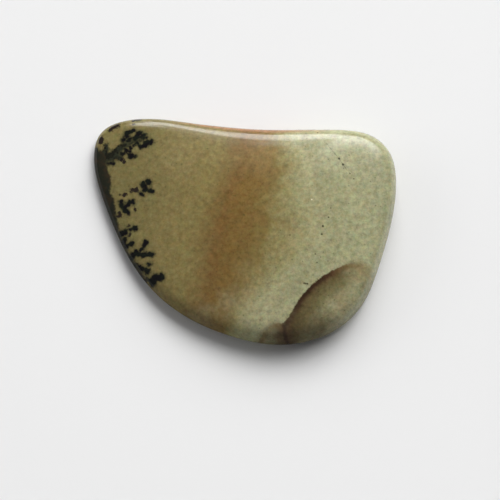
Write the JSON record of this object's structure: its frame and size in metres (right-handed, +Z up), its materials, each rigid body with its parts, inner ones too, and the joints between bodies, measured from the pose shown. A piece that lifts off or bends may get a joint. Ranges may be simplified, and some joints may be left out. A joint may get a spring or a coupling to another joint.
{
  "type": "polished porcelanite stone",
  "caption": "Small polished porcelanite stone with a low domed crown, rounded margin and flat resting spot, banded olive, brown and pale beige with dark dendrites along one side.",
  "frame": {"origin": "middle of the stone's bounding box, on the surface it rests on", "axes": "+X along the stone's longest extent towards its blunt, pale end, +Y towards its long, slightly hollow side, +Z up out of the polished crown"},
  "size_m": [0.0194, 0.015, 0.0027],
  "materials": {
    "stone": "polished, opaque, banded olive to brown to pale beige, with near-black dendrites and a dark margin"
  },
  "bodies": {
    "root": {"stone": "stone"}
  },
  "joints": []
}
